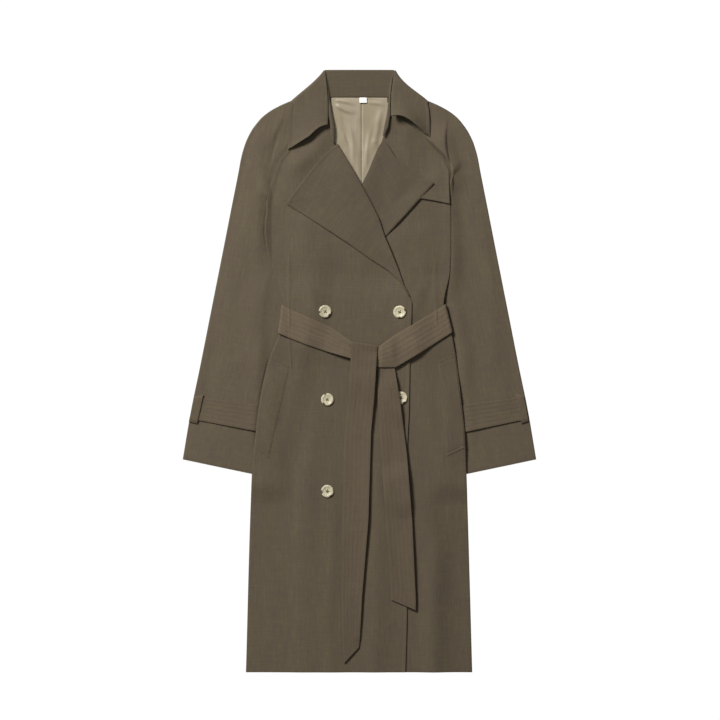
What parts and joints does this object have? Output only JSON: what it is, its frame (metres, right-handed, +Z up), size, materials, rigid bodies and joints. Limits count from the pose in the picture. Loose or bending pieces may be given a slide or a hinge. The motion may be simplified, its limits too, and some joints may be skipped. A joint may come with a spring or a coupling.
{
  "type": "trench coat",
  "caption": "Double-breasted raglan trench coat with wide lapels and a knotted tie belt, laid flat face up.",
  "frame": {"origin": "on the surface that the coat lies on, under the centre of its outline", "axes": "+Z up from the surface, out of the coat's fronts; +Y from hem to collar; +X towards the wearer's left sleeve"},
  "size_m": [0.6714, 1.1439, 0.0221],
  "materials": {
    "coat_cloth": "matt olive-brown weave",
    "satin_lining": "satin, beige",
    "woven_tab": "matt white tape",
    "button_horn": "polished cream horn with dark patches"
  },
  "bodies": {
    "root": {"back": "coat_cloth", "front_over": "coat_cloth", "front_under": "coat_cloth", "sleeve_left": "coat_cloth", "sleeve_right": "coat_cloth", "lapel_over": "coat_cloth", "lapel_under": "coat_cloth", "storm_flap": "coat_cloth", "collar_fall": "coat_cloth", "collar_stand": "coat_cloth", "pocket_welt_left": "coat_cloth", "pocket_welt_right": "coat_cloth", "cuff_strap_left": "coat_cloth", "cuff_strap_right": "coat_cloth", "cuff_loop_left": "coat_cloth", "cuff_loop_right": "coat_cloth", "belt_back": "coat_cloth", "belt_left": "coat_cloth", "belt_right": "coat_cloth", "belt_tail_long": "coat_cloth", "belt_tail_short": "coat_cloth", "lining_left": "satin_lining", "lining_right": "satin_lining", "neck_tab": "woven_tab", "button_1": "button_horn", "button_2": "button_horn", "button_3": "button_horn", "button_4": "button_horn", "button_5": "button_horn", "button_6": "button_horn"}
  },
  "joints": []
}
